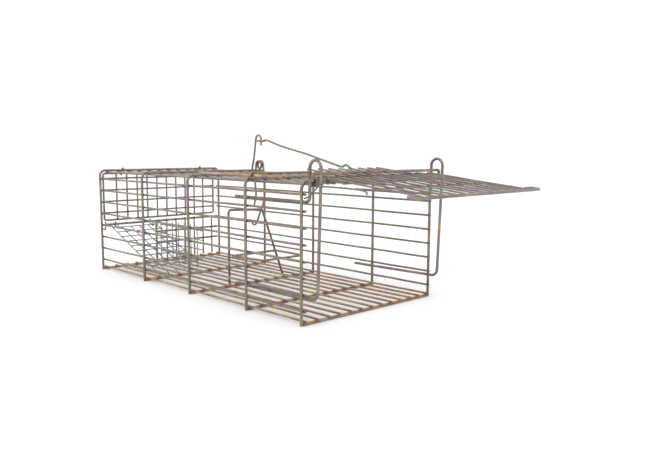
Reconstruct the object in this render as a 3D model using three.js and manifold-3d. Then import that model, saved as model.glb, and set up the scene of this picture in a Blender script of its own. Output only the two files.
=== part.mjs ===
// A small wire live catch trap, set and waiting: a welded cage, a sprung drop door with its
// guides and lock bar, a treadle with its trip linkage, a one-way rear flap and a rear hatch.
// Millimetres, +Z up, +X towards the front door. Built about the cage's near rear bottom
// corner, then moved so that the origin is the middle of the whole trap's base.
import * as THREE from 'three';
import { mergeVertices } from 'three/addons/utils/BufferGeometryUtils.js';
import Module from 'manifold-3d';

const wasm = await Module();
wasm.setup();

// Driving dimensions
const CAGE_LENGTH = 330;
const CAGE_WIDTH = 152;
const CAGE_TOP = 109.6;          // centre height of the top cross wires
const POST_D = 2.5;              // posts, hoops and cross wires
const MESH_D = 1.9;              // the wires that run along the cage
const HEAVY_D = 2.5;             // guides and lock bar
const DOOR_D = 1.5;              // door panel wires
const DOOR_BAR_D = 2.4;          // the door's front bar
const FLAP_D = 1.2;              // fine mesh of the flap and tunnel
const RING_D = 1.6;
const MESH_PITCH = 12.7;         // half-inch mesh
const FLOOR_PITCH = 12.5;
const WELD = 0.2;                // how deep two welded wires sink into each other
const GAP = 0.3;                 // clearance between separate pieces that touch
const OVERHANG = 3;              // wire ends that stand past the front posts
const REAR_OVERHANG = 1.5;
const TOP_OVERHANG = 1.8;
const POST_X = [0, 92.3, 175.4, 261.4, CAGE_LENGTH];
const MIDDLE_Y = CAGE_WIDTH / 2;
const WELD_STEP = (POST_D + MESH_D) / 2 - WELD;
const BAR_CORNER_R = (POST_D / 2) * Math.SQRT2;   // a square bar's corner from its axis

const SIDE_FIRST_Z = 11.2;
const SIDE_PITCH = 12.74;
const SIDE_ROWS = 8;
const TOP_ROWS = 12;
const FLOOR_ROWS = 13;
const CORNER_R = 6;
const POST_FOOT_Z = 0.3;
const POST_HEAD_Z = 103;
const STIFFENER_Y = 1.6;
const STIFFENER_Z = CAGE_TOP + POST_D + GAP;

const MID_RAIL_Z = 49.5;
const ENTRANCE_POST_Y = 65.2;
const TUNNEL_WALL_Y = 67.8;
const REAR_WIRE_Z = 4.5;         // feet of the rear wires, just above the floor wires
const HATCH_X = -4.4;            // the hatch hangs just behind the rear posts

const DOOR_TILT = THREE.MathUtils.degToRad(5.9);
const DOOR_OFFSET = 4.6;         // door plane above the hinge axis
const DOOR_LENGTH = 107;
const DOOR_BAR_OVERHANG = 4;     // the bar stands out past the cage's sides
const DOOR_PITCH = 12;
const DOOR_ROWS = 12;
const TAIL_ROWS = 8;
const TAIL_LENGTH = 33.5;

const GUIDE_Y = (MESH_D + HEAVY_D) / 2 + GAP + 0.05;   // inside the side panels
const SLOT_X = 340.3;            // middle of the slot that the lock bar lies in
const SLOT_R = 6;
const GUIDE_LEAN = 3.2;          // the outer leg leans back this much at its foot
const LOCK_BAR_Z = 115.9;

const TREADLE_X = POST_X[2];
const TREADLE_Z = 1.25;
const PEDAL_Z = 31;

// Plating colours
const PALETTE = {
  panel: 0x8d8378,
  floor: 0xa38a5c,
  door: 0x8c8a84,
  heavy: 0x84705c,
  trigger: 0x8a8873,
  flap: 0xb9bcbc,
  spring: 0x6d6558,
};

function platedWire(key) {
  return new THREE.MeshStandardMaterial({ color: PALETTE[key], metalness: 0.85, roughness: 0.38 });
}

// A path through given points, where each point is one step of the extrusion.
class WirePath extends THREE.Curve {
  constructor(points) {
    super();
    this.points = points;
  }

  getPoint(t, target = new THREE.Vector3()) {
    const last = this.points.length - 1;
    const place = THREE.MathUtils.clamp(t, 0, 1) * last;
    const index = Math.min(Math.floor(place), last - 1);
    return target.lerpVectors(this.points[index], this.points[index + 1], place - index);
  }

  getPointAt(u, target) {
    return this.getPoint(u, target);
  }

  getTangentAt(u, target = new THREE.Vector3()) {
    const last = this.points.length - 1;
    const index = Math.round(u * last);
    const before = this.points[Math.max(index - 1, 0)];
    const after = this.points[Math.min(index + 1, last)];
    const here = this.points[index];
    const incoming = here.clone().sub(before).normalize();
    const outgoing = after.clone().sub(here).normalize();
    return target.copy(incoming).add(outgoing).normalize();
  }
}

function v(x, y, z) {
  return new THREE.Vector3(x, y, z);
}

// A regular section with a flat face square to the path's first normal.
function wireSection(diameter, sides) {
  const radius = diameter / 2 / Math.cos(Math.PI / sides);
  const section = new THREE.Shape();
  for (let i = 0; i < sides; i += 1) {
    const angle = (2 * Math.PI * (i + 0.5)) / sides;
    section[i === 0 ? 'moveTo' : 'lineTo'](radius * Math.cos(angle), radius * Math.sin(angle));
  }
  section.closePath();
  return section;
}

function wire(points, diameter, sides = 6) {
  return new THREE.ExtrudeGeometry(wireSection(diameter, sides), {
    steps: points.length - 1,
    extrudePath: new WirePath(points),
    bevelEnabled: false,
  });
}

function straightWire(from, to, diameter) {
  return wire([from, to], diameter, 4);
}

// Rounds each inner corner of a polyline to the given bend radius.
function bent(corners, radius, steps = 4) {
  const points = [corners[0]];
  for (let i = 1; i < corners.length - 1; i += 1) {
    const back = corners[i - 1].clone().sub(corners[i]).normalize();
    const ahead = corners[i + 1].clone().sub(corners[i]).normalize();
    const half = back.angleTo(ahead) / 2;
    const reach = radius / Math.tan(half);
    const inward = back.clone().add(ahead).normalize();
    const centre = corners[i].clone().addScaledVector(inward, radius / Math.sin(half));
    const start = corners[i].clone().addScaledVector(back, reach).sub(centre);
    const sweep = Math.PI - 2 * half;
    const axis = ahead.clone().cross(back).normalize();
    for (let k = 0; k <= steps; k += 1) {
      points.push(start.clone().applyAxisAngle(axis, (sweep * k) / steps).add(centre));
    }
  }
  points.push(corners[corners.length - 1]);
  return points;
}

// Points of an arc in the XZ plane, degrees from +X towards +Z, drifting sideways along Y.
function arcXZ(x, z, radius, fromDeg, toDeg, steps, y, drift = 0) {
  const points = [];
  for (let k = 0; k <= steps; k += 1) {
    const angle = THREE.MathUtils.degToRad(fromDeg + ((toDeg - fromDeg) * k) / steps);
    const along = y + (drift * k) / steps;
    points.push(v(x + radius * Math.cos(angle), along, z + radius * Math.sin(angle)));
  }
  return points;
}

function toSolid(geometry) {
  const plain = geometry.clone();
  plain.deleteAttribute('normal');
  plain.deleteAttribute('uv');
  const welded = mergeVertices(plain);
  const mesh = new wasm.Mesh({
    numProp: 3,
    vertProperties: new Float32Array(welded.attributes.position.array),
    triVerts: new Uint32Array(welded.index.array),
  });
  return new wasm.Manifold(mesh);
}

function joined(geometries) {
  const solid = geometries.map(toSolid).reduce((sum, next) => sum.add(next));
  const mesh = solid.getMesh();
  const geometry = new THREE.BufferGeometry();
  geometry.setAttribute('position', new THREE.BufferAttribute(mesh.vertProperties, 3));
  geometry.setIndex(new THREE.BufferAttribute(mesh.triVerts, 1));
  geometry.computeVertexNormals();
  return geometry;
}

function named(name, geometry, key) {
  const mesh = new THREE.Mesh(geometry, platedWire(key));
  mesh.name = name;
  return mesh;
}

function range(count) {
  return Array.from({ length: count }, (unused, i) => i);
}

// Evenly pitched places about a middle.
function spread(middle, pitch, count) {
  return range(count).map((i) => middle + pitch * (i - (count - 1) / 2));
}

// Cage

function floorMesh() {
  const crossZ = POST_D / 2;
  const alongZ = crossZ + WELD_STEP;
  const ends = [POST_D / 2 - WELD_STEP + GAP + WELD, CAGE_WIDTH - POST_D / 2 + WELD_STEP - GAP - WELD];
  const across = POST_X.map((x) => straightWire(v(x, ends[0], crossZ), v(x, ends[1], crossZ), POST_D));
  const along = spread(MIDDLE_Y, FLOOR_PITCH, FLOOR_ROWS).map((y) => straightWire(
    v(-REAR_OVERHANG, y, alongZ), v(CAGE_LENGTH + OVERHANG, y, alongZ), MESH_D));
  return named('floor_mesh', joined([...across, ...along]), 'floor');
}

function sideMesh(name, y, outward) {
  const postY = y + outward * WELD_STEP;
  const posts = POST_X.map((x) => straightWire(v(x, postY, POST_FOOT_Z), v(x, postY, POST_HEAD_Z), POST_D));
  const along = range(SIDE_ROWS).map((i) => {
    const z = SIDE_FIRST_Z + i * SIDE_PITCH;
    return straightWire(v(-REAR_OVERHANG, y, z), v(CAGE_LENGTH + OVERHANG, y, z), MESH_D);
  });
  return named(name, joined([...posts, ...along]), 'panel');
}

function topMesh() {
  const nearY = -WELD_STEP;
  const farY = CAGE_WIDTH + WELD_STEP;
  const footZ = POST_HEAD_Z + GAP;
  const hoops = POST_X.map((x) => wire(bent([
    v(x, nearY, footZ), v(x, nearY, CAGE_TOP), v(x, farY, CAGE_TOP), v(x, farY, footZ),
  ], CORNER_R), POST_D, 6));
  const alongZ = CAGE_TOP - WELD_STEP;
  const along = spread(MIDDLE_Y, MESH_PITCH, TOP_ROWS).map((y) => straightWire(
    v(-REAR_OVERHANG, y, alongZ), v(CAGE_LENGTH + TOP_OVERHANG, y, alongZ), MESH_D));
  return named('top_mesh', joined([...hoops, ...along]), 'panel');
}

function topStiffener() {
  const [rearX, frontX] = [190, 305];
  const ends = [v(rearX, STIFFENER_Y, STIFFENER_Z), v(frontX, STIFFENER_Y, STIFFENER_Z)];
  return named('top_stiffener', wire(ends, POST_D), 'floor');
}

// A hook over the stiffener whose leg hangs down inside the near side.
function sideClip() {
  const reach = (POST_D + RING_D) / 2 + GAP;
  const x = 267;
  const tipDrop = 2.5;
  const steps = 6;
  const over = range(steps + 1).map((k) => {
    const angle = Math.PI * (1 - k / steps);
    return v(x, STIFFENER_Y + reach * Math.cos(angle), STIFFENER_Z + reach * Math.sin(angle));
  });
  const leg = [v(x, 3.9, 106), v(x - 1, 6, 98), v(x - 2.5, 6, 92), v(x - 3.5, 5.6, 88)];
  const points = [v(x, STIFFENER_Y - reach, STIFFENER_Z - tipDrop), ...over, ...leg];
  return named('side_clip', wire(points, RING_D), 'trigger');
}

// Rear

function rearLowerMesh() {
  const railEnd = 1.3;
  const rowD = POST_D - 0.1;
  const rail = straightWire(v(0, railEnd, MID_RAIL_Z), v(0, CAGE_WIDTH - railEnd, MID_RAIL_Z), POST_D);
  const post = straightWire(
    v(0, ENTRANCE_POST_Y, REAR_WIRE_Z), v(0, ENTRANCE_POST_Y, MID_RAIL_Z), POST_D);
  const uprights = range(6).map((i) => {
    const y = ENTRANCE_POST_Y + MESH_PITCH * (i + 1);
    return straightWire(v(WELD_STEP, y, REAR_WIRE_Z), v(WELD_STEP, y, MID_RAIL_Z + 2), MESH_D);
  });
  const rows = [1, 2].map((i) => {
    const z = SIDE_FIRST_Z + i * SIDE_PITCH;
    return straightWire(v(0, ENTRANCE_POST_Y, z), v(0, CAGE_WIDTH - railEnd, z), rowD);
  });
  return named('rear_lower_mesh', joined([rail, post, ...uprights, ...rows]), 'panel');
}

function rearHatch() {
  const x = HATCH_X;
  const [low, high] = [54, 106];
  const [near, far] = [3.5, CAGE_WIDTH - 3.5];
  const frameD = 2.2;
  const bars = [
    straightWire(v(x, near, low), v(x, near, high), frameD),
    straightWire(v(x, far, low), v(x, far, high), frameD),
    straightWire(v(x, near - frameD / 2, low), v(x, far + frameD / 2, low), frameD),
    straightWire(v(x, near - frameD / 2, high), v(x, far + frameD / 2, high), frameD),
  ];
  const uprights = spread(MIDDLE_Y, MESH_PITCH, 10).map((y) => straightWire(
    v(x, y, low), v(x, y, high), MESH_D));
  const rows = range(4).map((i) => {
    const z = SIDE_FIRST_Z + (i + 4) * SIDE_PITCH;
    return straightWire(v(x, near, z), v(x, far, z), MESH_D);
  });
  return named('rear_hatch', joined([...bars, ...uprights, ...rows]), 'panel');
}

function hatchPull() {
  const x = HATCH_X;
  const y = 4.5;
  const points = [v(x, y, 51.2), v(x, y, 45.5), v(x - 1, y, 43.8), v(x - 3, y, 43), v(x - 5, y, 43.8)];
  return named('hatch_pull', wire(points, RING_D), 'heavy');
}

// A closed ring round a bar that lies along Y.
function barRing(name, x, y, z, key) {
  const ringR = BAR_CORNER_R + GAP + RING_D / 2;
  const ring = new THREE.TorusGeometry(ringR, RING_D / 2, 5, 12);
  ring.rotateX(Math.PI / 2);
  const mesh = named(name, ring, key);
  mesh.position.set(x, y, z);
  return mesh;
}

function tunnelWall() {
  const rowY = TUNNEL_WALL_Y + FLAP_D - WELD;
  const topZ = 51;
  const [rearX, frontX] = [4, 90.5];
  const uprights = range(7).map((i) => {
    const x = rearX + 2 + i * MESH_PITCH;
    return straightWire(v(x, TUNNEL_WALL_Y, REAR_WIRE_Z), v(x, TUNNEL_WALL_Y, topZ), FLAP_D);
  });
  const rows = spread(29.95, 10.3, 4).map((z) => straightWire(
    v(rearX, rowY, z), v(frontX, rowY, z), FLAP_D));
  return named('tunnel_wall', joined([...uprights, ...rows]), 'flap');
}

// The flap hangs from the mid rail and slopes in until its free end rests near the floor.
function entryFlap() {
  const slope = THREE.MathUtils.degToRad(21.6);
  const start = 4.6;
  const at = (reach, y, lift) => v(
    reach * Math.cos(slope) + lift * Math.sin(slope), y,
    MID_RAIL_Z - 2 - reach * Math.sin(slope) + lift * Math.cos(slope));
  const longest = 114;
  const shorterEach = 2.6;
  const rowPitch = 11;
  const rowLift = FLAP_D - WELD;
  const fingers = spread(36, 10.8, 6).map((y, i) => straightWire(
    at(start, y, 0), at(longest - i * shorterEach, y, 0), FLAP_D));
  const rows = range(9).map((i) => {
    const reach = start + 1 + i * rowPitch;
    return straightWire(at(reach, 7.5, rowLift), at(reach, 64.2, rowLift), FLAP_D);
  });
  return named('entry_flap', joined([...fingers, ...rows]), 'flap');
}

// Door, in its own frame: +X along the panel from the hinge axis, +Z off the panel.

function doorMesh() {
  const rows = spread(MIDDLE_Y, DOOR_PITCH, DOOR_ROWS);
  const firstTail = (DOOR_ROWS - TAIL_ROWS) / 2;
  const along = rows.map((y, i) => {
    const isTail = i >= firstTail && i < firstTail + TAIL_ROWS;
    const back = isTail ? -TAIL_LENGTH : 5;
    return straightWire(
      v(back, y, DOOR_OFFSET), v(DOOR_LENGTH - DOOR_BAR_D / 2 - GAP, y, DOOR_OFFSET), DOOR_D);
  });
  const crossZ = DOOR_OFFSET - DOOR_D + WELD;
  const spans = [[6, 0], [34, 0], [62, 0], [-22, firstTail]];
  const across = spans.map(([x, skip]) => straightWire(
    v(x, rows[skip] - 3, crossZ), v(x, rows[DOOR_ROWS - 1 - skip] + 3, crossZ), DOOR_D));
  return named('door_mesh', joined([...along, ...across]), 'door');
}

// The door's front bar, turned back at each end as a flat ear.
function doorFrontBar() {
  const earR = 3.5;
  const earX = DOOR_LENGTH - 2 * earR;
  const earEnd = 8.7;
  const ear = (y, side) => range(7).map((k) => {
    const angle = Math.PI * (-0.5 + k / 6);
    const x = DOOR_LENGTH - earR + earR * Math.sin(angle);
    return v(x, y + side * earR * Math.cos(angle), DOOR_OFFSET);
  });
  const turn = earR + DOOR_BAR_D / 2 - DOOR_BAR_OVERHANG;
  const near = ear(turn, -1);
  const far = ear(CAGE_WIDTH - turn, 1).reverse();
  const points = [v(earX, earEnd, DOOR_OFFSET), ...near, ...far, v(earX, CAGE_WIDTH - earEnd, DOOR_OFFSET)];
  return named('door_front_bar', wire(points, DOOR_BAR_D), 'door');
}

function doorSpring() {
  const coilR = 3.6;
  const hingeX = CAGE_LENGTH;
  const firstY = 8.9;
  const coilWidth = 7;
  const turns = 5;
  const stepsPerTurn = 10;
  const coil = arcXZ(
    hingeX, CAGE_TOP, coilR, -90, -90 - 360 * turns + 90, stepsPerTurn * turns, firstY, coilWidth);
  const doorLeg = [[57, 7.6, -1.2], [56, 9, 0.8], [45, 9.2, 0.9], [15, 9, -1.6]].map(([u, y, w]) => v(
    hingeX + u * Math.cos(DOOR_TILT) + w * Math.sin(DOOR_TILT), y,
    CAGE_TOP - u * Math.sin(DOOR_TILT) + w * Math.cos(DOOR_TILT)));
  const postLeg = [v(326.8, 15, 103), v(327.6, 8.5, 98.6), v(328.3, 4.5, 97.4), v(329, 1.8, 97.2)];
  return named('door_spring', wire([...doorLeg, ...coil, ...postLeg], 1.3, 5), 'spring');
}

function doorAssembly() {
  const door = new THREE.Group();
  door.position.set(CAGE_LENGTH, 0, CAGE_TOP);
  door.rotation.y = DOOR_TILT;
  door.add(doorMesh(), doorFrontBar());
  return door;
}

// Front guides and lock bar

function guide(name, y) {
  const legRear = 242;
  const upperZ = 94.5;
  const lowerZ = 21.4;
  const archZ = 119.8;
  const innerX = SLOT_X - SLOT_R;
  const outerX = SLOT_X + SLOT_R;
  const points = bent([v(legRear, y, upperZ), v(innerX, y, upperZ), v(innerX, y, archZ)], 4);
  points.pop();
  points.push(...arcXZ(SLOT_X, archZ, SLOT_R, 180, 0, 8, y));
  points.push(...bent([
    v(outerX - 0.1, y, 112), v(outerX - GUIDE_LEAN, y, lowerZ), v(legRear, y, lowerZ - 1),
  ], 6));
  return named(name, wire(points, HEAVY_D, 8), 'heavy');
}

// Runs across through both guides' slots, with its ends turned down outside them.
function lockBar() {
  const nearY = GUIDE_Y - HEAVY_D - 2 * GAP;
  const farY = CAGE_WIDTH - nearY;
  const tipZ = LOCK_BAR_Z - 6;
  const points = bent([
    v(SLOT_X, nearY, tipZ), v(SLOT_X, nearY, LOCK_BAR_Z),
    v(SLOT_X, farY, LOCK_BAR_Z), v(SLOT_X, farY, tipZ),
  ], 2.2);
  return named('lock_bar', wire(points, HEAVY_D), 'heavy');
}

// Trip linkage

// One wire: the inverted J, a wrap under the top cross wire, the coiled eye, the bait arm and hook.
function triggerLever() {
  const y = 74.4;
  const wrapR = POST_D / 2 + 2 * GAP + 0.9;
  const arm = [[184.6, 137], [184.6, 143], [182.9, 145.8], [180, 146.9], [177.4, 145], [176.4, 141.5]];
  const eyeX = 182;
  const eyeZ = 118.5;
  const baitArm = [[187, 112], [188.4, 104], [189, 90], [185.8, 79], [181, 71.4], [177.3, 64.1]];
  const hook = [[174.4, 59.9], [171.8, 58.8], [169.3, 59.6], [167.6, 63]];
  const points = [
    ...arm.map(([x, z]) => v(x, MIDDLE_Y, z)),
    v(TREADLE_X - wrapR, y, 116),
    ...arcXZ(TREADLE_X, CAGE_TOP, wrapR, 180, 330, 6, y),
    ...arcXZ(eyeX, eyeZ, 3.5, 180, -360, 18, y, 3.4),
    ...[...baitArm, ...hook].map(([x, z]) => v(x, MIDDLE_Y + 1, z)),
  ];
  return named('trigger_lever', wire(points, 2), 'trigger');
}

const ROD_PIVOT = v(184.6, MIDDLE_Y, 141.5);

// The prop from the lever's J to the door's tail, with an eye round the J's short leg.
function tripRod() {
  const rodD = 1.9;
  const eyeR = 3.4;
  const eye = new THREE.TorusGeometry(eyeR, rodD / 2, 6, 14);
  eye.translate(ROD_PIVOT.x, ROD_PIVOT.y, ROD_PIVOT.z);
  const run = [
    [188, 141.5], [191.5, 142.6], [201, 140.1], [213.4, 136.7], [234.3, 132.5], [248.7, 129.8],
    [267.1, 125.3], [284.8, 121.1], [295.5, 118.6], [299, 120.8], [302, 120], [306.6, 116.95],
  ];
  const rod = wire(run.map(([x, z]) => v(x, MIDDLE_Y, z)), rodD);
  return named('trip_rod', joined([eye, rod]), 'trigger');
}

// Treadle: an upright bail that stands on the floor's middle cross wire, and its pedal.

const BAIL_NEAR_Y = 43;
const BAIL_FAR_Y = 111;

function bailFoot(y) {
  const saddleR = BAR_CORNER_R + GAP + 1.1;
  return wire(arcXZ(TREADLE_X, TREADLE_Z, saddleR, 30, 150, 6, y), 2.2);
}

function treadleBail() {
  const footZ = TREADLE_Z + POST_D / 2 + GAP + 1;
  const frame = wire(bent([
    v(TREADLE_X, BAIL_NEAR_Y, footZ), v(TREADLE_X, BAIL_NEAR_Y, 75.5),
    v(TREADLE_X, 84, 73.8), v(TREADLE_X, BAIL_FAR_Y, footZ),
  ], 3), POST_D);
  return named('treadle_bail', joined([frame, bailFoot(BAIL_NEAR_Y), bailFoot(BAIL_FAR_Y)]), 'trigger');
}

function pedalFrame() {
  const pedalD = 2.2;
  const rearX = TREADLE_X + POST_D / 2 + GAP + pedalD / 2;
  const frontX = 219.6;
  const sides = [
    [v(rearX, 44.5, PEDAL_Z), v(frontX, 49.5, PEDAL_Z)],
    [v(frontX, 48.5, PEDAL_Z), v(frontX, 99.5, PEDAL_Z)],
    [v(frontX, 98.5, PEDAL_Z), v(rearX, 99, PEDAL_Z)],
    [v(rearX, 43.5, PEDAL_Z), v(rearX, 100, PEDAL_Z)],
  ];
  return named('pedal_frame', joined(sides.map(([from, to]) => straightWire(from, to, pedalD))), 'trigger');
}

const HINGE_RING_Y = [25.2, MIDDLE_Y, 126.8];

function trap() {
  const model = new THREE.Group();
  const farGuideY = CAGE_WIDTH - GUIDE_Y;
  const sideLabels = ['near', 'mid', 'far'];
  model.add(floorMesh(), sideMesh('near_side_mesh', 0, -1), sideMesh('far_side_mesh', CAGE_WIDTH, 1));
  model.add(topMesh(), topStiffener(), sideClip(), rearLowerMesh(), tunnelWall());
  model.add(guide('near_guide', GUIDE_Y), guide('far_guide', farGuideY), lockBar());
  model.add(doorAssembly(), doorSpring());
  HINGE_RING_Y.forEach((y, i) => {
    model.add(barRing(`door_ring_${sideLabels[i]}`, CAGE_LENGTH, y, CAGE_TOP, 'door'));
  });
  model.add(rearHatch(), hatchPull());
  model.add(barRing('hatch_ring_near', 0, HINGE_RING_Y[0], CAGE_TOP, 'panel'));
  model.add(barRing('hatch_ring_far', 0, HINGE_RING_Y[2], CAGE_TOP, 'panel'));
  model.add(entryFlap());
  model.add(barRing('flap_ring_near', 0, 14.4, MID_RAIL_Z, 'flap'));
  model.add(barRing('flap_ring_far', 0, 57.6, MID_RAIL_Z, 'flap'));
  model.add(triggerLever(), tripRod(), treadleBail(), pedalFrame());
  return model;
}

// Origin at the middle of the base of the whole trap.
const model = trap();
model.updateMatrixWorld(true);
const box = new THREE.Box3().setFromObject(model, true);
const middle = box.getCenter(new THREE.Vector3());
model.position.set(-middle.x, -middle.y, -box.min.z);
model.updateMatrixWorld(true);

export default model;
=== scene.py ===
"""Looks for a set wire live catch trap: round plated wire with weld nuggets, clips and a spring.

Sizes are in millimetres about the cage's near rear bottom corner, as the trap is measured.
PLACE moves them into the frame's metres. Colours are linear.
"""
import math
import random

import bpy
from mathutils import Matrix, Vector


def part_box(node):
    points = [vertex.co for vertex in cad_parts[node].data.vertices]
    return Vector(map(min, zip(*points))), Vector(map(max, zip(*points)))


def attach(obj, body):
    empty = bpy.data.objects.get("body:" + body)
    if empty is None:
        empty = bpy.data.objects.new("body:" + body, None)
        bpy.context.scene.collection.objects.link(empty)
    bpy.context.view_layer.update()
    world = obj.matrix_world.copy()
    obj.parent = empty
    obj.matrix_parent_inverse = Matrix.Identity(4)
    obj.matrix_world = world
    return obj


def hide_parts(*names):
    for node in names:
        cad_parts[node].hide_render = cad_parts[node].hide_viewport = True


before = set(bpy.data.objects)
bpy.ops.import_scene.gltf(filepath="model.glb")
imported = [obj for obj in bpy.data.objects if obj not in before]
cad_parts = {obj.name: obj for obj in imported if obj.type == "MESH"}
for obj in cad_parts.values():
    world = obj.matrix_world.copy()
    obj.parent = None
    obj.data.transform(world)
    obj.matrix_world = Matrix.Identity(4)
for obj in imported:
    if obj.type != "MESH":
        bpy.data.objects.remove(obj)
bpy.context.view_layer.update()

random.seed(7)

# Wire diameters
POST_D = 2.5
MESH_D = 1.9
HEAVY_D = 2.5
DOOR_D = 1.5
DOOR_BAR_D = 2.4
HATCH_FRAME_D = 2.2
FLAP_D = 1.2
RING_D = 1.6
SPRING_D = 1.3
LEVER_D = 2.0
ROD_D = 1.9
BAIL_D = 2.4
PEDAL_D = 2.2

# Weld nuggets
POST_NUGGET = 1.35
REAR_NUGGET = 1.3
HATCH_NUGGET = 1.2
DOOR_BAR_NUGGET = 1.1
DOOR_NUGGET = 0.95
FINE_NUGGET = 0.8
HEAVY_NUGGET = 1.5
STIFFENER_NUGGET = 1.6
ENTRANCE_NUGGET = 2.2

# Cage
CAGE_LENGTH = 330
CAGE_WIDTH = 152
CAGE_TOP = 109.6
MESH_PITCH = 12.7
FLOOR_PITCH = 12.5
FLOOR_ROWS = 13
TOP_ROWS = 12
SIDE_ROWS = 8
WELD = 0.2
GAP = 0.3
OVERHANG = 3
REAR_OVERHANG = 1.5
TOP_OVERHANG = 1.8
POST_X = [0, 92.3, 175.4, 261.4, CAGE_LENGTH]
MIDDLE_Y = CAGE_WIDTH / 2
WELD_STEP = (POST_D + MESH_D) / 2 - WELD
SIDE_FIRST_Z = 11.2
SIDE_PITCH = 12.74
CORNER_R = 6
POST_FOOT_Z = 0.3
POST_HEAD_Z = 103
STIFFENER_Y = 1.6
STIFFENER_Z = CAGE_TOP + POST_D + GAP
STIFFENER_X = (190, 305)

# Rear
MID_RAIL_Z = 49.5
ENTRANCE_POST_Y = 65.2
REAR_WIRE_Z = 4.5
RAIL_END = 1.3
HATCH_X = -4.4
HATCH_LOW, HATCH_HIGH = 54, 106
HATCH_INSET = 3.5
TUNNEL_WALL_Y = 67.8
TUNNEL_TOP = 51
TUNNEL_X = (4, 90.5)
FLAP_SLOPE = math.radians(21.6)
FLAP_START = 4.6
FLAP_Y = (7.5, 64.2)
FINE_STEP = FLAP_D - WELD

# Door, guides and lock bar
DOOR_TILT = math.radians(5.9)
DOOR_OFFSET = 4.6
DOOR_LENGTH = 107
DOOR_PITCH = 12
DOOR_ROWS = 12
TAIL_ROWS = 8
TAIL_LENGTH = 33.5
DOOR_BAR_OVERHANG = 4
EAR_R = 3.5
EAR_END_Y = 8.7
GUIDE_Y = (MESH_D + HEAVY_D) / 2 + GAP + 0.05
GUIDE_LEAN = 3.2
SLOT_X = 340.3
SLOT_R = 6
LOCK_BAR_Z = 115.9

# Treadle and trip linkage
TREADLE_X = POST_X[2]
TREADLE_Z = POST_D / 2
PEDAL_Z = 31
PEDAL_FRONT_X = 219.6
BAIL_NEAR_Y = 43
BAIL_FAR_Y = 111
ROD_PIVOT_X, ROD_PIVOT_Z = 184.6, 141.5

# Clips round the hinge bars
HINGE_CLIP_Y = {"near": 25.2, "mid": MIDDLE_Y, "far": 126.8}
FLAP_CLIP_Y = {"near": 14.4, "far": 57.6}

MM = 0.001
TUBE_SIDES = 12
WAVER = 0.16            # how far a long wire wanders from straight
WAVER_STEP = 24
CUT_END = ((0, 0.7), (0.12, 0.9), (0.35, 1))    # distance in and width, in wire radii
NUGGET_RINGS = 5
NUGGET_SWEEP = 150
NUGGET_LENGTH = 1.15
NUGGET_GIRTH = 0.62

floor_low, floor_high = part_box("floor_mesh")
PLACE = Matrix.Translation((
    floor_low.x + REAR_OVERHANG * MM,
    (floor_low.y + floor_high.y) / 2 - MIDDLE_Y * MM,
    floor_low.z,
)) @ Matrix.Scale(MM, 4)
DOOR_PLACE = (
    Matrix.Translation((CAGE_LENGTH, 0, CAGE_TOP)) @ Matrix.Rotation(DOOR_TILT, 4, "Y")
)


# Paths

def spread(middle, pitch, count):
    return [middle + pitch * (i - (count - 1) / 2) for i in range(count)]


def stepped(first, pitch, count):
    return [first + i * pitch for i in range(count)]


def in_plane(y, places):
    """Points of a wire that lies at one Y, from pairs of X and Z."""
    return [Vector((x, y, z)) for x, z in places]


def bent(corners, radius, steps=8):
    """Rounds each inner corner of a polyline to the bend radius."""
    corners = [Vector(c) for c in corners]
    points = [corners[0]]
    for before, corner, after in zip(corners, corners[1:], corners[2:]):
        back = (before - corner).normalized()
        ahead = (after - corner).normalized()
        half = back.angle(ahead) / 2
        centre = corner + (back + ahead).normalized() * radius / math.sin(half)
        arm = corner + back * radius / math.tan(half) - centre
        axis = ahead.cross(back).normalized()
        for k in range(steps + 1):
            turn = Matrix.Rotation((math.pi - 2 * half) * k / steps, 3, axis)
            points.append(turn @ arm + centre)
    points.append(corners[-1])
    return points


def arc_xz(x, z, radius, start, end, steps, y, drift=0.0):
    """Degrees from +X towards +Z, drifting sideways along Y."""
    points = []
    for k in range(steps + 1):
        angle = math.radians(start + (end - start) * k / steps)
        points.append(Vector((
            x + radius * math.cos(angle), y + drift * k / steps, z + radius * math.sin(angle))))
    return points


def smooth(points, rounds=2):
    """Cuts the corners of a hand-bent wire at each quarter, and keeps its two ends."""
    points = [Vector(p) for p in points]
    for _ in range(rounds):
        cut = [points[0]]
        for a, b in zip(points, points[1:]):
            cut += [a.lerp(b, 0.25), a.lerp(b, 0.75)]
        points = cut + [points[-1]]
    return points


def wavering(start, end, across=(0, 1, 1)):
    """A drawn wire that is a little less than straight between its ends."""
    start, end = Vector(start), Vector(end)
    steps = max(1, round((end - start).length / WAVER_STEP))
    points = [start]
    for k in range(1, steps):
        wander = Vector(random.uniform(-WAVER, WAVER) * part for part in across)
        points.append(start.lerp(end, k / steps) + wander)
    points.append(end)
    return points


# Wire meshes

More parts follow.
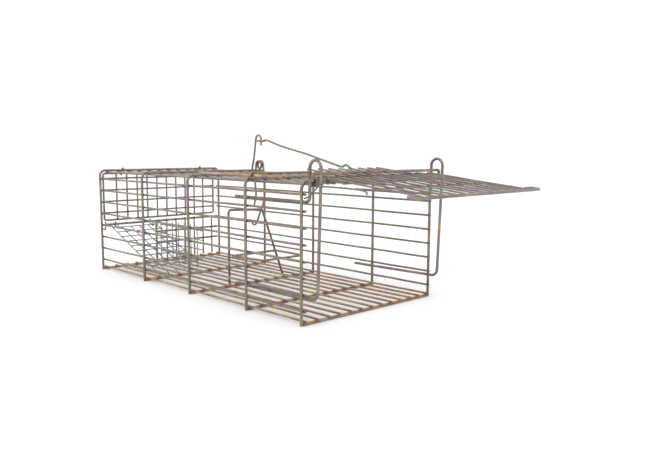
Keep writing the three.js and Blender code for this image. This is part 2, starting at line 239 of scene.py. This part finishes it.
class Wires:
    """One piece made of round wires and the weld nuggets that join them.

    Each vertex has a heat, 0 on plain wire and 1 on a weld, which dulls the plating there.
    """

    def __init__(self, place=PLACE):
        self.place = place
        self.verts = []
        self.faces = []
        self.heat = []

    def ring(self, centre, side, up, radius, heat):
        first = len(self.verts)
        for k in range(TUBE_SIDES):
            angle = 2 * math.pi * k / TUBE_SIDES
            offset = side * math.cos(angle) + up * math.sin(angle)
            self.verts.append(centre + offset * radius)
            self.heat.append(heat)
        return first

    def skin(self, rings, closed=False):
        pairs = list(zip(rings, rings[1:]))
        if closed:
            pairs.append((rings[-1], rings[0]))
        for a, b in pairs:
            for k in range(TUBE_SIDES):
                n = (k + 1) % TUBE_SIDES
                self.faces.append((a + k, a + n, b + n, b + k))
        if not closed:
            self.faces.append(tuple(rings[0] + k for k in reversed(range(TUBE_SIDES))))
            self.faces.append(tuple(rings[-1] + k for k in range(TUBE_SIDES)))

    def tube(self, points, diameter, closed=False):
        """Round wire through the points, with its cut ends slightly rounded over."""
        points = [Vector(p) for p in points]
        radius = diameter / 2
        last = len(points) - 1
        rings = []
        side = None
        for i, point in enumerate(points):
            before = points[i - 1] if i > 0 or closed else point
            after = points[(i + 1) % len(points)] if i < last or closed else point
            run = ((point - before).normalized() + (after - point).normalized()).normalized()
            if side is None:
                side = run.orthogonal().normalized()
            side = (side - run * side.dot(run)).normalized()
            stations = [(0, 1)]
            if i == 0 and not closed:
                stations = CUT_END
            elif i == last and not closed:
                stations = [(-inward, width) for inward, width in reversed(CUT_END)]
            for along, width in stations:
                centre = point + run * radius * along
                rings.append(self.ring(centre, side, run.cross(side), radius * width, 0.0))
        self.skin(rings, closed)

    def nugget(self, centre, along, size):
        """A squashed weld bead, longest along the wire that it sits on."""
        along = Vector(along).normalized()
        side = along.orthogonal().normalized()
        up = along.cross(side)
        rings = []
        for k in range(NUGGET_RINGS):
            angle = math.radians(NUGGET_SWEEP * (k / (NUGGET_RINGS - 1) - 0.5))
            rings.append(self.ring(
                Vector(centre) + along * size * NUGGET_LENGTH * math.sin(angle), side, up,
                size * NUGGET_GIRTH * math.cos(angle), 1.0))
        self.skin(rings)

    def crossings(self, firsts, seconds, at, along, size):
        """A nugget where each of the first wires meets each of the second."""
        for a in firsts:
            for b in seconds:
                self.nugget(at(a, b), along, size)

    def piece(self, name, body, node, slot):
        mesh = bpy.data.meshes.new(name)
        mesh.from_pydata([self.place @ v for v in self.verts], [], self.faces)
        mesh.update()
        rounded = [len(face) <= 4 for face in self.faces]
        mesh.polygons.foreach_set("use_smooth", rounded)
        heat = mesh.attributes.new("heat", "FLOAT", "POINT")
        heat.data.foreach_set("value", self.heat)
        mesh.materials.append(PLATING[slot])
        made = bpy.data.objects.new(name, mesh)
        bpy.context.scene.collection.objects.link(made)
        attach(made, body)
        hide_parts(node)


# Materials

# Noise scales per metre, from the drift of tint along a wire down to its draw marks
TINT_SCALE = 38
DULL_SCALE = 210
SHEEN_SCALE = 420
DRAW_SCALE = 1500

GREY = (0.26, 0.24, 0.23)
BROWN = (0.29, 0.2, 0.16)
UMBER = (0.22, 0.16, 0.13)
OLIVE = (0.3, 0.31, 0.17)
YELLOW = (0.47, 0.4, 0.13)
AMBER = (0.47, 0.25, 0.1)
PINK = (0.45, 0.31, 0.28)
ROSE = (0.43, 0.26, 0.18)
TAN = (0.44, 0.29, 0.16)
MAUVE = (0.33, 0.22, 0.3)
GREEN = (0.29, 0.36, 0.25)
SILVER = (0.44, 0.45, 0.47)
STEEL = (0.29, 0.3, 0.31)
SCORCH = (0.10, 0.075, 0.06)
PALE_SCORCH = (0.3, 0.3, 0.3)


class Plating:
    """A metal material's nodes, with a short call for each kind that the plating uses."""

    def __init__(self, name):
        self.material = bpy.data.materials.new(name)
        self.material.use_nodes = True
        self.nodes = self.material.node_tree.nodes
        self.links = self.material.node_tree.links
        self.nodes.clear()
        output = self.nodes.new("ShaderNodeOutputMaterial")
        self.shader = self.nodes.new("ShaderNodeBsdfPrincipled")
        self.shader.inputs["Metallic"].default_value = 0.9
        self.links.new(self.shader.outputs[0], output.inputs["Surface"])
        self.coords = self.nodes.new("ShaderNodeTexCoord")

    def feed(self, socket, source):
        self.links.new(source, self.shader.inputs[socket])

    def noise(self, scale, detail, distortion=0.0):
        node = self.nodes.new("ShaderNodeTexNoise")
        node.inputs["Scale"].default_value = scale
        node.inputs["Detail"].default_value = detail
        node.inputs["Distortion"].default_value = distortion
        self.links.new(self.coords.outputs["Object"], node.inputs["Vector"])
        return node.outputs[0]

    def ramp(self, source, stops):
        node = self.nodes.new("ShaderNodeValToRGB")
        elements = node.color_ramp.elements
        while len(elements) < len(stops):
            elements.new(0.5)
        for element, (place, tone) in zip(elements, stops):
            element.position = place
            element.color = (*tone, 1)
        self.links.new(source, node.inputs[0])
        return node.outputs[0]

    def multiplied(self, factor, colour, tint):
        node = self.nodes.new("ShaderNodeMix")
        node.data_type = "RGBA"
        node.blend_type = "MULTIPLY"
        node.inputs[0].default_value = factor
        self.links.new(colour, node.inputs[6])
        self.links.new(tint, node.inputs[7])
        return node.outputs[2]

    def scorched(self, colour, scorch):
        """Darkens the colour towards the scorch where the wire's heat is high."""
        heat = self.nodes.new("ShaderNodeAttribute")
        heat.attribute_name = "heat"
        share = self.nodes.new("ShaderNodeMath")
        share.operation = "MULTIPLY"
        share.inputs[1].default_value = 0.7
        self.links.new(heat.outputs["Fac"], share.inputs[0])
        node = self.nodes.new("ShaderNodeMix")
        node.data_type = "RGBA"
        self.links.new(share.outputs[0], node.inputs[0])
        self.links.new(colour, node.inputs[6])
        node.inputs[7].default_value = (*scorch, 1)
        return node.outputs[2]

    def mapped(self, source, low, high):
        node = self.nodes.new("ShaderNodeMapRange")
        node.inputs["To Min"].default_value = low
        node.inputs["To Max"].default_value = high
        self.links.new(source, node.inputs["Value"])
        return node.outputs[0]

    def bump(self, source, strength, distance):
        node = self.nodes.new("ShaderNodeBump")
        node.inputs["Strength"].default_value = strength
        node.inputs["Distance"].default_value = distance
        self.links.new(source, node.inputs["Height"])
        return node.outputs[0]


def tinted_plating(name, tones, roughness, scorch=SCORCH):
    """Passivated zinc: tints drift along the wire, dull at the welds, with fine draw marks."""
    plating = Plating(name)
    first, last = 0.34, 0.66
    step = (last - first) / (len(tones) - 1)
    tints = [(first + step * i, tone) for i, tone in enumerate(tones)]
    film = plating.ramp(plating.noise(TINT_SCALE, 2, 0.6), tints)
    dull = plating.ramp(
        plating.noise(DULL_SCALE, 4), [(0.35, (0.62, 0.62, 0.62)), (0.65, (1, 1, 1))])
    colour = plating.multiplied(0.75, film, dull)
    sheen = plating.noise(SHEEN_SCALE, 3)
    draw_marks = plating.noise(DRAW_SCALE, 3)
    plating.feed("Base Color", plating.scorched(colour, scorch))
    plating.feed("Roughness", plating.mapped(sheen, roughness - 0.1, roughness + 0.16))
    plating.feed("Normal", plating.bump(draw_marks, 0.25, 0.00012))
    return plating.material


PLATING = {
    "panel": tinted_plating("panel_plating", [BROWN, GREY, OLIVE, BROWN, MAUVE, GREY], 0.36),
    "floor": tinted_plating("floor_plating", [AMBER, ROSE, BROWN, TAN, PINK, YELLOW], 0.36),
    "door": tinted_plating("door_plating", [GREEN, GREY, BROWN, GREY, MAUVE, OLIVE], 0.34),
    "heavy": tinted_plating("heavy_plating", [UMBER, BROWN, GREY, TAN], 0.33),
    "trigger": tinted_plating("trigger_plating", [OLIVE, GREY, ROSE, BROWN, GREY], 0.35),
    "fine": tinted_plating("fine_galvanising", [SILVER, STEEL, SILVER], 0.42, PALE_SCORCH),
    "spring": tinted_plating("spring_plating", [UMBER, GREY, OLIVE], 0.3),
}


# Cage

def floor_panel():
    wires = Wires()
    cross_z = POST_D / 2
    along_z = cross_z + WELD_STEP
    inset = POST_D / 2 - WELD_STEP + GAP + WELD
    rows = spread(MIDDLE_Y, FLOOR_PITCH, FLOOR_ROWS)
    for x in POST_X:
        wires.tube([(x, inset, cross_z), (x, CAGE_WIDTH - inset, cross_z)], POST_D)
    for y in rows:
        wires.tube(wavering(
            (-REAR_OVERHANG, y, along_z), (CAGE_LENGTH + OVERHANG, y, along_z), (0, 1, 0.3)), MESH_D)
    weld_z = cross_z + POST_D / 2
    wires.crossings(POST_X, rows, lambda x, y: (x, y, weld_z), (0, 1, 0), POST_NUGGET)
    wires.piece("floor_panel", "cage", "floor_mesh", "floor")


def side_panel(name, node, y, outward):
    wires = Wires()
    post_y = y + outward * WELD_STEP
    rows = stepped(SIDE_FIRST_Z, SIDE_PITCH, SIDE_ROWS)
    for x in POST_X:
        wires.tube([(x, post_y, POST_FOOT_Z), (x, post_y, POST_HEAD_Z)], POST_D)
    for z in rows:
        wires.tube(wavering(
            (-REAR_OVERHANG, y, z), (CAGE_LENGTH + OVERHANG, y, z), (0, 0.6, 1)), MESH_D)
    weld_y = y + outward * MESH_D / 2
    wires.crossings(POST_X, rows, lambda x, z: (x, weld_y, z), (0, 0, 1), POST_NUGGET)
    wires.piece(name, "cage", node, "panel")


def top_panel():
    wires = Wires()
    near, far = -WELD_STEP, CAGE_WIDTH + WELD_STEP
    for x in POST_X:
        wires.tube(bent([
            (x, near, POST_HEAD_Z), (x, near, CAGE_TOP), (x, far, CAGE_TOP), (x, far, POST_HEAD_Z),
        ], CORNER_R), POST_D)
    rows = spread(MIDDLE_Y, MESH_PITCH, TOP_ROWS)
    z = CAGE_TOP - WELD_STEP
    for y in rows:
        wires.tube(wavering(
            (-REAR_OVERHANG, y, z), (CAGE_LENGTH + TOP_OVERHANG, y, z), (0, 1, 0.4)), MESH_D)
    weld_z = CAGE_TOP - POST_D / 2
    wires.crossings(POST_X, rows, lambda x, y: (x, y, weld_z), (0, 1, 0), POST_NUGGET)
    wires.piece("top_panel", "cage", "top_mesh", "panel")


def stiffener():
    wires = Wires()
    wires.tube([(x, STIFFENER_Y, STIFFENER_Z) for x in STIFFENER_X], POST_D)
    wires.nugget((POST_X[3], STIFFENER_Y, STIFFENER_Z - POST_D / 2), (1, 0, 0), STIFFENER_NUGGET)
    wires.piece("stiffener_wire", "cage", "top_stiffener", "floor")


def clip_wire():
    """A hook over the stiffener whose leg hangs down inside the near side."""
    wires = Wires()
    reach = (POST_D + RING_D) / 2 + GAP
    x = 267
    tip_drop = 2.5
    over = [Vector((
        x, STIFFENER_Y - reach * math.cos(math.pi * k / 8),
        STIFFENER_Z + reach * math.sin(math.pi * k / 8))) for k in range(9)]
    leg = smooth([over[-1], (x, 3.9, 106), (x - 1, 6, 98), (x - 2.5, 6, 92), (x - 3.5, 5.6, 88)])
    tip = Vector((x, STIFFENER_Y - reach, STIFFENER_Z - tip_drop))
    wires.tube([tip, *over, *leg[1:]], RING_D)
    wires.piece("inner_clip", "cage", "side_clip", "trigger")


# Rear

def rear_frame():
    wires = Wires()
    near, far = RAIL_END, CAGE_WIDTH - RAIL_END
    wires.tube([(0, near, MID_RAIL_Z), (0, far, MID_RAIL_Z)], POST_D)
    wires.tube([(0, ENTRANCE_POST_Y, REAR_WIRE_Z), (0, ENTRANCE_POST_Y, MID_RAIL_Z)], POST_D)
    uprights = stepped(ENTRANCE_POST_Y + MESH_PITCH, MESH_PITCH, 6)
    rows = stepped(SIDE_FIRST_Z + SIDE_PITCH, SIDE_PITCH, 2)
    for y in uprights:
        wires.tube([(WELD_STEP, y, REAR_WIRE_Z), (WELD_STEP, y, MID_RAIL_Z + 2)], MESH_D)
    for z in rows:
        wires.tube([(0, ENTRANCE_POST_Y, z), (0, far, z)], POST_D - 0.1)
    wires.crossings(
        uprights, [*rows, MID_RAIL_Z], lambda y, z: (POST_D / 2, y, z), (0, 0, 1), REAR_NUGGET)
    wires.nugget((0, ENTRANCE_POST_Y, MID_RAIL_Z - 1), (0, 1, 0), ENTRANCE_NUGGET)
    wires.piece("rear_frame", "cage", "rear_lower_mesh", "panel")


def hatch_panel():
    """A bent frame, with its uprights just inside its plane and its rows just outside."""
    wires = Wires()
    near, far = HATCH_INSET, CAGE_WIDTH - HATCH_INSET
    half_step = 0.5
    wires.tube(bent([
        (HATCH_X, MIDDLE_Y, HATCH_LOW), (HATCH_X, near, HATCH_LOW), (HATCH_X, near, HATCH_HIGH),
        (HATCH_X, far, HATCH_HIGH), (HATCH_X, far, HATCH_LOW), (HATCH_X, MIDDLE_Y + 0.2, HATCH_LOW),
    ], 2.4), HATCH_FRAME_D)
    uprights = spread(MIDDLE_Y, MESH_PITCH, 10)
    rows = stepped(SIDE_FIRST_Z + 4 * SIDE_PITCH, SIDE_PITCH, 4)
    inner_x, outer_x = HATCH_X + half_step, HATCH_X - half_step
    for y in uprights:
        wires.tube([(inner_x, y, HATCH_LOW), (inner_x, y, HATCH_HIGH)], MESH_D)
    for z in rows:
        wires.tube(wavering((outer_x, near, z), (outer_x, far, z), (0, 0, 1)), MESH_D)
    wires.crossings(uprights, rows, lambda y, z: (HATCH_X, y, z), (0, 0, 1), HATCH_NUGGET)
    wires.piece("hatch_panel", "hatch", "rear_hatch", "panel")


def hatch_hook():
    wires = Wires()
    x, y = HATCH_X, 4.5
    wires.tube(smooth([
        (x, y, 52.4), (x, y, 45.5), (x - 1, y, 43.6), (x - 3.2, y, 42.9), (x - 5, y, 44),
    ]), RING_D)
    wires.piece("hatch_hook", "hatch", "hatch_pull", "heavy")


def tunnel_panel():
    wires = Wires()
    uprights = stepped(TUNNEL_X[0] + 2, MESH_PITCH, 7)
    rows = stepped(14.5, 10.3, 4)
    row_y = TUNNEL_WALL_Y + FINE_STEP
    for x in uprights:
        wires.tube([(x, TUNNEL_WALL_Y, REAR_WIRE_Z), (x, TUNNEL_WALL_Y, TUNNEL_TOP)], FLAP_D)
    for z in rows:
        wires.tube(wavering((TUNNEL_X[0], row_y, z), (TUNNEL_X[1], row_y, z), (0, 0.3, 1)), FLAP_D)
    weld_y = TUNNEL_WALL_Y + FINE_STEP / 2
    wires.crossings(uprights, rows, lambda x, z: (x, weld_y, z), (0, 0, 1), FINE_NUGGET)
    wires.piece("tunnel_panel", "cage", "tunnel_wall", "fine")


def on_flap(reach, y, lift):
    return Vector((
        reach * math.cos(FLAP_SLOPE) + lift * math.sin(FLAP_SLOPE), y,
        MID_RAIL_Z - 2 - reach * math.sin(FLAP_SLOPE) + lift * math.cos(FLAP_SLOPE)))


def flap_panel():
    wires = Wires()
    near, far = FLAP_Y
    longest = 114
    shorter_each = 2.6
    fingers = stepped(9, 10.8, 6)
    rows = stepped(FLAP_START + 1, 11, 9)
    for i, y in enumerate(fingers):
        tip = on_flap(longest - i * shorter_each, y, 0)
        wires.tube(wavering(on_flap(FLAP_START, y, 0), tip, (0, 1, 0)), FLAP_D)
    for reach in rows:
        ends = [on_flap(reach, y, FINE_STEP) for y in (near, far)]
        wires.tube(wavering(*ends, (1, 0, 0)), FLAP_D)
    wires.crossings(rows, fingers, lambda r, y: on_flap(r, y, FINE_STEP / 2), (0, 1, 0), FINE_NUGGET)
    wires.piece("flap_panel", "flap", "entry_flap", "fine")


# Door, in its own frame: +X along the panel from the hinge axis, +Z off the panel

def door_panel():
    wires = Wires(PLACE @ DOOR_PLACE)
    rows = spread(MIDDLE_Y, DOOR_PITCH, DOOR_ROWS)
    first_tail = (DOOR_ROWS - TAIL_ROWS) // 2
    tail = range(first_tail, first_tail + TAIL_ROWS)
    for i, y in enumerate(rows):
        back = -TAIL_LENGTH if i in tail else 5
        wires.tube(wavering((back, y, DOOR_OFFSET), (DOOR_LENGTH - 1, y, DOOR_OFFSET)), DOOR_D)
        bar_x = DOOR_LENGTH - DOOR_BAR_D / 2
        wires.nugget((bar_x, y, DOOR_OFFSET), (0, 1, 0), DOOR_BAR_NUGGET)
    cross_z = DOOR_OFFSET - DOOR_D + WELD
    weld_z = DOOR_OFFSET - DOOR_D / 2
    for x, skip in ((6, 0), (34, 0), (62, 0), (-22, first_tail)):
        crossed = rows[skip:DOOR_ROWS - skip]
        wires.tube([(x, crossed[0] - 3, cross_z), (x, crossed[-1] + 3, cross_z)], DOOR_D)
        wires.crossings([x], crossed, lambda u, y: (u, y, weld_z), (0, 1, 0), DOOR_NUGGET)
    wires.piece("door_panel", "door", "door_mesh", "door")


def ear(y, side):
    """Half a turn of the door's front bar, back towards the panel."""
    steps = 12
    points = []
    for k in range(steps + 1):
        angle = math.pi * (k / steps - 0.5)
        points.append(Vector((
            DOOR_LENGTH - EAR_R + EAR_R * math.sin(angle), y + side * EAR_R * math.cos(angle),
            DOOR_OFFSET)))
    return points


def door_bar():
    wires = Wires(PLACE @ DOOR_PLACE)
    turn = EAR_R + DOOR_BAR_D / 2 - DOOR_BAR_OVERHANG
    end_x = DOOR_LENGTH - 2 * EAR_R
    weld_y = EAR_END_Y + 0.2
    wires.tube([
        (end_x, EAR_END_Y, DOOR_OFFSET), *ear(turn, -1), *reversed(ear(CAGE_WIDTH - turn, 1)),
        (end_x, CAGE_WIDTH - EAR_END_Y, DOOR_OFFSET)], DOOR_BAR_D)
    for y in (weld_y, CAGE_WIDTH - weld_y):
        wires.nugget((end_x, y, DOOR_OFFSET), (0, 1, 0), HEAVY_NUGGET)
    wires.piece("door_bar", "door", "door_front_bar", "door")


def torsion_spring():
    """The leg under the door and the coil's first quarter turn swing with the door.

    As the door shuts, that quarter turn slides round onto the next, as a spring winds up.
    """
    coil_r = 3.6
    turns = 5
    turn_steps = 16
    quarter = turn_steps // 4
    first_y, coil_width = 8.9, 7
    coil = arc_xz(
        CAGE_LENGTH, CAGE_TOP, coil_r, -90, -360 * turns, turn_steps * turns, first_y, coil_width)
    door_leg = [
        DOOR_PLACE @ Vector(p) for p in
        ((57, 7.6, -1.2), (56, 9, 0.8), (45, 9.2, 0.9), (15, 9, -1.6), (3, 8.9, -3.4))]
    post_leg = [coil[-1], (326.8, 15, 103), (327.6, 8.5, 98.6), (328.3, 4.5, 97.4), (329, 1.8, 97.2)]
    moving = Wires()
    moving.tube([*smooth(door_leg), *coil[:quarter + 1]], SPRING_D)
    moving.piece("torsion_spring_leg", "door", "door_spring", "spring")
    fixed = Wires()
    fixed.tube([*coil[quarter:], *smooth(post_leg)[1:]], SPRING_D)
    fixed.piece("torsion_spring", "cage", "door_spring", "spring")


# Guides and lock bar

def guide_wire(name, node, y):
    wires = Wires()
    leg_rear, upper_z, lower_z, arch_z = 242, 94.5, 21.4, 119.8
    inner_x, outer_x = SLOT_X - SLOT_R, SLOT_X + SLOT_R
    points = bent([(leg_rear, y, upper_z), (inner_x, y, upper_z), (inner_x, y, arch_z)], 4)[:-1]
    points += arc_xz(SLOT_X, arch_z, SLOT_R, 180, 0, 16, y)
    points += bent([
        (outer_x - 0.1, y, 112), (outer_x - GUIDE_LEAN, y, lower_z), (leg_rear, y, lower_z - 1)], 6)
    wires.tube(points, HEAVY_D)
    outward = -1 if y < MIDDLE_Y else 1
    weld_y = y + outward * HEAVY_D / 2
    for x in (leg_rear + 4, POST_X[3], POST_X[4] - 4):
        for z in (upper_z, lower_z - 0.6):
            wires.nugget((x, weld_y, z), (1, 0, 0), HEAVY_NUGGET)
    wires.piece(name, "cage", node, "heavy")


def locking_bar():
    wires = Wires()
    near = GUIDE_Y - HEAVY_D - 2 * GAP
    far = CAGE_WIDTH - near
    tip_z = LOCK_BAR_Z - 6
    wires.tube(bent([
        (SLOT_X, near, tip_z), (SLOT_X, near, LOCK_BAR_Z), (SLOT_X, far, LOCK_BAR_Z),
        (SLOT_X, far, tip_z)], 2.2), HEAVY_D)
    wires.piece("locking_bar", "lock_bar", "lock_bar", "heavy")


# Trip linkage and treadle

def lever_wire():
    """One wire: the inverted J, a wrap under the top cross wire, the coiled eye and the bait arm."""
    wires = Wires()
    y = 74.4
    wrap_r = POST_D / 2 + 2 * GAP + 0.9
    j_end = in_plane(MIDDLE_Y, (
        (184.6, 137), (184.6, 143), (183.6, 146.4), (180, 147.2), (177, 145.6), (176.2, 141.5),
        (174, 127)))
    arm = smooth([*j_end, (TREADLE_X - wrap_r, y, 116)])
    wrap = arc_xz(TREADLE_X, CAGE_TOP, wrap_r, 180, 330, 12, y)
    eye = arc_xz(182, 118.5, 3.5, 180, -360, 36, y, 3.4)
    bait_arm = in_plane(MIDDLE_Y + 1, (
        (187, 112), (188.4, 104), (189, 90), (185.8, 79), (181, 71.4), (177.3, 64.1), (174.4, 59.2),
        (171.4, 58.2), (168.4, 59.2), (167.6, 63)))
    wires.tube([*arm, *wrap, *eye, *smooth([eye[-1], *bait_arm])[1:]], LEVER_D)
    wires.piece("lever_wire", "lever", "trigger_lever", "trigger")


def prop_rod():
    """The prop from the lever's J to the door's tail, with an eye round the J's short leg."""
    wires = Wires()
    eye_r = 3.4
    eye_steps = 24
    eye = []
    for k in range(2, eye_steps + 1):
        angle = 2 * math.pi * k / eye_steps
        eye.append(Vector((
            ROD_PIVOT_X + eye_r * math.cos(angle), MIDDLE_Y + eye_r * math.sin(angle), ROD_PIVOT_Z)))
    run = smooth(in_plane(MIDDLE_Y, (
        (188, 141.5), (191.5, 142.6), (201, 140.1), (213.4, 136.7), (234.3, 132.5), (248.7, 129.8),
        (267.1, 125.3), (284.8, 121.1), (295.5, 118.4), (299, 120.8), (302, 120), (306.8, 116.95))))
    wires.tube([*eye, *run[1:]], ROD_D)
    wires.piece("prop_rod", "rod", "trip_rod", "trigger")


def bail_wire():
    wires = Wires()
    foot_r = POST_D / 2 + GAP + 1.1
    foot_z = TREADLE_Z + foot_r
    near_foot = arc_xz(TREADLE_X, TREADLE_Z, foot_r, 20, 90, 6, BAIL_NEAR_Y)
    far_foot = arc_xz(TREADLE_X, TREADLE_Z, foot_r, 90, 20, 6, BAIL_FAR_Y)
    frame_path = bent([
        (TREADLE_X, BAIL_NEAR_Y, foot_z), (TREADLE_X, BAIL_NEAR_Y, 75.5),
        (TREADLE_X, 84, 73.8), (TREADLE_X, BAIL_FAR_Y, foot_z)], 3)
    wires.tube([*near_foot, *frame_path[1:-1], *far_foot], BAIL_D)
    wires.piece("bail_wire", "treadle", "treadle_bail", "trigger")


def pedal_wire():
    wires = Wires()
    rear_x = TREADLE_X + POST_D / 2 + PEDAL_D / 2
    wires.tube(bent([
        (rear_x, 70, PEDAL_Z), (rear_x, 44.5, PEDAL_Z), (PEDAL_FRONT_X, 49.5, PEDAL_Z),
        (PEDAL_FRONT_X, 98.5, PEDAL_Z), (rear_x, 99.5, PEDAL_Z), (rear_x, 70.2, PEDAL_Z),
    ], 2.2), PEDAL_D)
    for y in (BAIL_NEAR_Y, 98):
        wires.nugget((TREADLE_X + POST_D / 2, y, PEDAL_Z), (0, 0, 1), HEAVY_NUGGET)
    wires.piece("pedal_wire", "treadle", "pedal_frame", "trigger")


# Clips

def crimped_clip(name, node, body, bar, wire, wire_d, y, slot):
    """A wire clip crimped round a bar and the panel's wire beside it, both lying along Y."""
    wires = Wires()
    heading = math.degrees(math.atan2(wire[1] - bar[1], wire[0] - bar[0]))
    bar_r = (POST_D + RING_D) / 2 + 0.15
    wire_r = (wire_d + RING_D) / 2 + 0.05
    round_bar = arc_xz(*bar, bar_r, heading + 90, heading + 270, 10, y)
    round_wire = arc_xz(*wire, wire_r, heading - 90, heading + 90, 8, y)
    wires.tube([*round_bar, *round_wire], RING_D, closed=True)
    wires.piece(name, body, node, slot)


def door_clips():
    wire = DOOR_PLACE @ Vector((6, 0, DOOR_OFFSET - DOOR_D + WELD))
    for label, y in HINGE_CLIP_Y.items():
        crimped_clip(
            f"door_clip_{label}", f"door_ring_{label}", "door", (CAGE_LENGTH, CAGE_TOP),
            (wire.x, wire.z), DOOR_D, y, "door")


def hatch_clips():
    for label in ("near", "far"):
        crimped_clip(
            f"hatch_clip_{label}", f"hatch_ring_{label}", "hatch", (0, CAGE_TOP),
            (HATCH_X, HATCH_HIGH), HATCH_FRAME_D, HINGE_CLIP_Y[label], "panel")


def flap_clips():
    wire = on_flap(FLAP_START + 1, 0, FINE_STEP)
    for label, y in FLAP_CLIP_Y.items():
        crimped_clip(
            f"flap_clip_{label}", f"flap_ring_{label}", "flap", (0, MID_RAIL_Z),
            (wire.x, wire.z), FLAP_D, y, "fine")


# Stage

def pale_floor():
    reach = 6.0
    corners = [(-reach, -reach, 0), (reach, -reach, 0), (reach, reach, 0), (-reach, reach, 0)]
    mesh = bpy.data.meshes.new("studio_floor")
    mesh.from_pydata(corners, [], [(0, 1, 2, 3)])
    floor = bpy.data.objects.new("studio_floor", mesh)
    bpy.context.scene.collection.objects.link(floor)
    material = bpy.data.materials.new("pale_floor")
    material.use_nodes = True
    shader = material.node_tree.nodes["Principled BSDF"]
    shader.inputs["Base Color"].default_value = (0.93, 0.93, 0.93, 1)
    shader.inputs["Roughness"].default_value = 0.9
    mesh.materials.append(material)


def soft_light(name, place, target, size, power):
    data = bpy.data.lights.new(name, "AREA")
    data.size = size
    data.energy = power
    lamp = bpy.data.objects.new(name, data)
    lamp.location = place
    aim = Vector(target) - Vector(place)
    lamp.rotation_euler = aim.to_track_quat("-Z", "Y").to_euler()
    bpy.context.scene.collection.objects.link(lamp)


def studio():
    world = bpy.data.worlds.new("studio")
    world.use_nodes = True
    background = world.node_tree.nodes["Background"]
    background.inputs[0].default_value = (1, 1, 1, 1)
    background.inputs[1].default_value = 1.12
    bpy.context.scene.world = world
    bpy.context.scene.view_settings.view_transform = "Standard"
    middle = (0, 0, 0.05)
    soft_light("key", (1.2, -1.6, 1.9), middle, 1.6, 12)
    soft_light("fill", (-1.6, -0.6, 1.1), middle, 1.4, 5)
    pale_floor()


def camera():
    """Stands at the near front corner, a little above the cage."""
    data = bpy.data.cameras.new("camera")
    data.sensor_width = 36
    data.lens = 37.1
    data.clip_start = 0.01
    eye = bpy.data.objects.new("camera", data)
    eye.location = PLACE @ Vector((696.2, -331.1, 133.8))
    eye.rotation_euler = (math.radians(90 - 7.15), math.radians(-0.23), math.radians(46.25))
    bpy.context.scene.collection.objects.link(eye)
    bpy.context.scene.camera = eye


floor_panel()
side_panel("near_side_panel", "near_side_mesh", 0, -1)
side_panel("far_side_panel", "far_side_mesh", CAGE_WIDTH, 1)
top_panel()
stiffener()
clip_wire()
rear_frame()
hatch_panel()
hatch_hook()
tunnel_panel()
flap_panel()
door_panel()
door_bar()
torsion_spring()
guide_wire("near_guide_wire", "near_guide", GUIDE_Y)
guide_wire("far_guide_wire", "far_guide", CAGE_WIDTH - GUIDE_Y)
locking_bar()
lever_wire()
prop_rod()
bail_wire()
pedal_wire()
door_clips()
hatch_clips()
flap_clips()
studio()
camera()
